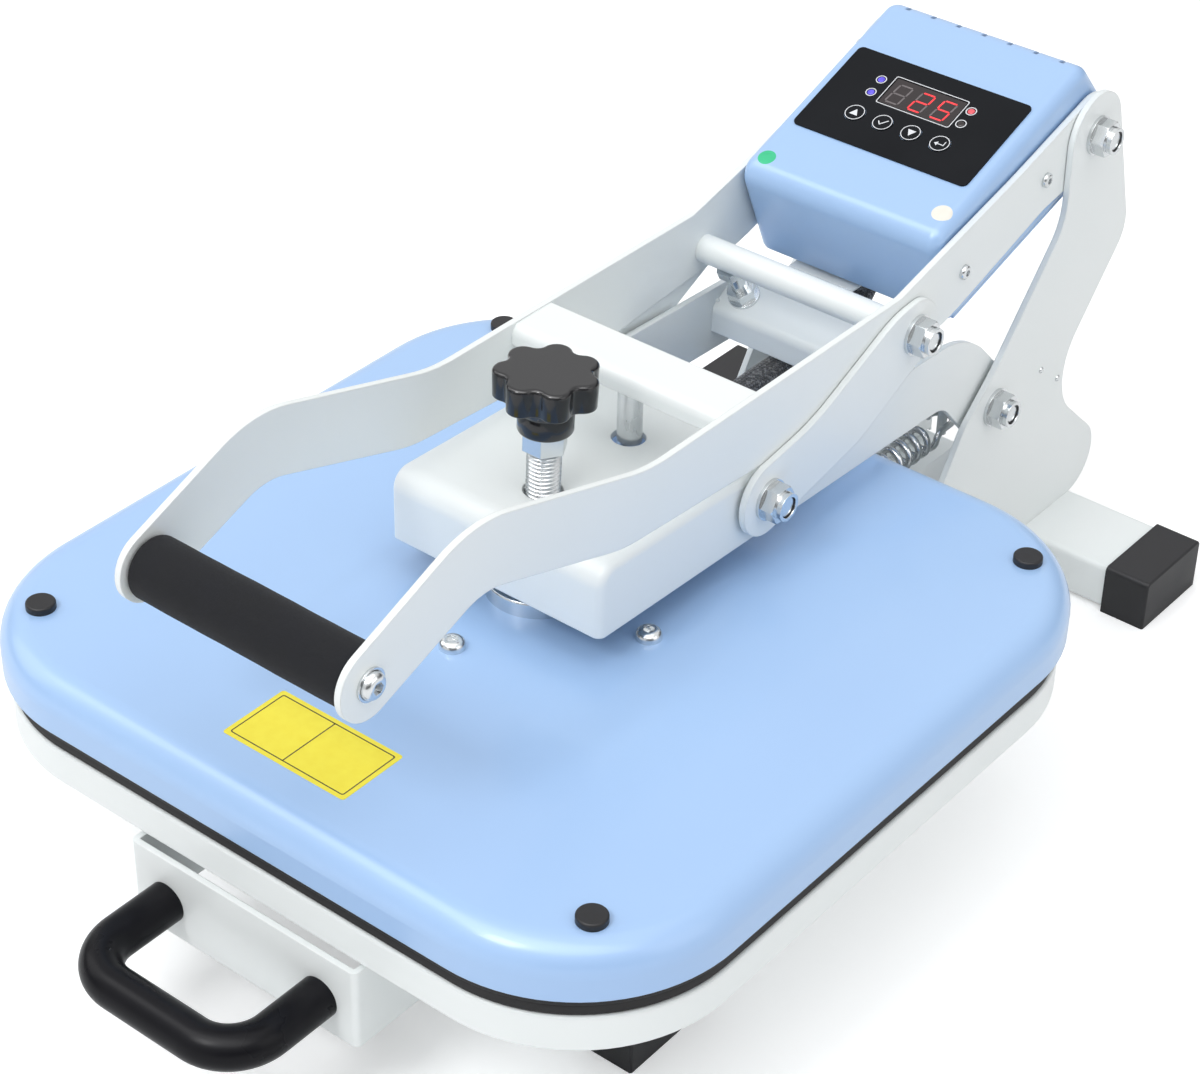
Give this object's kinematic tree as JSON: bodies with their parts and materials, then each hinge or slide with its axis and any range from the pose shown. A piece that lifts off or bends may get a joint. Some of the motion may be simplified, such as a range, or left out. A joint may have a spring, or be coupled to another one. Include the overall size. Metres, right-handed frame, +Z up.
{
  "type": "flat heat press",
  "caption": "Clamshell flat heat press: toggle handle lifts the platen arm, drawer for the lower platen, pressure knob, digital control box.",
  "frame": {"origin": "centre of the bounding box, on the floor", "axes": "+Z up, front at -Y, +X to the right"},
  "size_m": [0.3852, 0.637, 0.2797],
  "materials": {
    "white_steel": "white powder coat",
    "blue_steel": "light blue powder coat",
    "zinc": "bright zinc plate",
    "black_plastic": "gloss black",
    "cap_plastic": "satin dark grey",
    "black_foam": "matte foam rubber",
    "aluminium": "dark coated",
    "silicone": "black silicone",
    "panel": "gloss overlay",
    "display": "smoked window",
    "board": "circuit board",
    "insulation": "ceramic fibre",
    "sleeve": "braided sleeve",
    "heater": "sheathed heater"
  },
  "bodies": {
    "base": {"cross_tubes": "white_steel", "foot_caps": "cap_plastic", "base_rails": "white_steel", "spring_web": "white_steel", "right_upright": "white_steel", "left_upright": "white_steel", "slide_outer_members": "zinc", "pivot_a_bolts": "zinc", "pivot_b_bolt": "zinc", "lift_springs": "zinc"},
    "slide_middle": {"slide_middle_members": "zinc"},
    "drawer": {"slide_inner_members": "zinc", "drawer_tray": "white_steel", "bow_handle": "black_plastic", "drawer_screws": "zinc", "lower_platen": "white_steel", "silicone_pad": "silicone"},
    "press_arm": {"press_arm": "white_steel", "stop_plate": "white_steel", "stop_bolt": "zinc", "pivot_tube": "white_steel", "pressure_nut": "zinc", "pivot_d_heads": "zinc"},
    "upper_platen": {"heating_platen": "aluminium", "heater_tube": "heater", "insulation_board": "insulation", "platen_cover": "blue_steel", "cover_spacers": "zinc", "cover_plugs": "black_plastic", "cover_screws": "zinc", "screw_boss": "zinc", "guide_pin": "zinc", "lead_grommet": "cap_plastic", "heater_lead": "sleeve"},
    "pressure_screw": {"pressure_screw": "zinc", "hex_collar": "zinc", "pressure_knob": "black_plastic"},
    "handle": {"right_handle_plate": "white_steel", "left_handle_plate": "white_steel", "handle_cross_plate": "white_steel", "cross_bar": "white_steel", "pivot_c_bolt": "zinc", "grip_tube": "white_steel", "handle_grip": "black_foam", "handle_screws": "zinc", "control_box_cover": "blue_steel", "control_box_base": "blue_steel", "control_panel": "panel", "display_and_lamps": "display", "controller_board": "board", "power_inlet": "cap_plastic", "timer_switch": "zinc", "lead_gland": "cap_plastic"},
    "links": {"link_plates": "white_steel", "pivot_d_bolts": "zinc"},
    "up_button": {"up_button": "panel"},
    "ok_button": {"ok_button": "panel"},
    "down_button": {"down_button": "panel"},
    "enter_button": {"enter_button": "panel"},
    "power_rocker": {"power_rocker": "black_plastic"}
  },
  "joints": [
    {"name": "handle_hinge", "type": "hinge", "parent": "base", "child": "handle", "pos_m": [0, 0.2772, 0.245], "axis": [-1, 0, 0], "range_deg": [0, 65], "deforming": ["heater_lead"]},
    {"name": "arm_hinge", "type": "hinge", "parent": "base", "child": "press_arm", "pos_m": [0, 0.2067, 0.1225], "axis": [-1, 0, 0], "range_deg": [0, 40.69], "deforming": ["heater_lead", "lift_springs"]},
    {"name": "link_hinge", "type": "hinge", "parent": "handle", "child": "links", "pos_m": [0, 0.1267, 0.2012], "axis": [1, 0, 0], "range_deg": [0, 92.54]},
    {"name": "knob_turn", "type": "hinge", "parent": "upper_platen", "child": "pressure_screw", "pos_m": [0, -0.0638, 0.1844], "axis": [0, 0.0436, 0.999], "range_deg": [0, 1081]},
    {"name": "platen_slide", "type": "slide", "parent": "press_arm", "child": "upper_platen", "axis": [0, 0.0436, 0.999], "range_m": [0, 0.006], "deforming": ["heater_lead"]},
    {"name": "drawer_slide", "type": "slide", "parent": "base", "child": "drawer", "axis": [0, -1, 0], "range_m": [0, 0.28]},
    {"name": "slide_middle_slide", "type": "slide", "parent": "base", "child": "slide_middle", "axis": [0, -1, 0], "range_m": [0, 0.1401]},
    {"name": "rocker_turn", "type": "hinge", "parent": "handle", "child": "power_rocker", "pos_m": [0.026, 0.28183, 0.23489], "axis": [0, -0.4923, -0.8704], "range_deg": [0, 14]},
    {"name": "up_press", "type": "slide", "parent": "handle", "child": "up_button", "axis": [0, 0.3355, -0.9421], "range_m": [0, 0.0005], "stiffness_N_per_m": 800, "springref_m": -0.0005},
    {"name": "ok_press", "type": "slide", "parent": "handle", "child": "ok_button", "axis": [0, 0.3355, -0.9421], "range_m": [0, 0.0005], "stiffness_N_per_m": 800, "springref_m": -0.0005},
    {"name": "down_press", "type": "slide", "parent": "handle", "child": "down_button", "axis": [0, 0.3355, -0.9421], "range_m": [0, 0.0005], "stiffness_N_per_m": 800, "springref_m": -0.0005},
    {"name": "enter_press", "type": "slide", "parent": "handle", "child": "enter_button", "axis": [0, 0.3355, -0.9421], "range_m": [0, 0.0005], "stiffness_N_per_m": 800, "springref_m": -0.0005}
  ],
  "couplings": [
    {"joint": "arm_hinge", "follows": "handle_hinge", "ratio": 0.62588},
    {"joint": "link_hinge", "follows": "handle_hinge", "ratio": 1.4234},
    {"joint": "knob_turn", "follows": "platen_slide", "rad_per_m": 3141.6},
    {"joint": "slide_middle_slide", "follows": "drawer_slide", "ratio": 0.5}
  ]
}
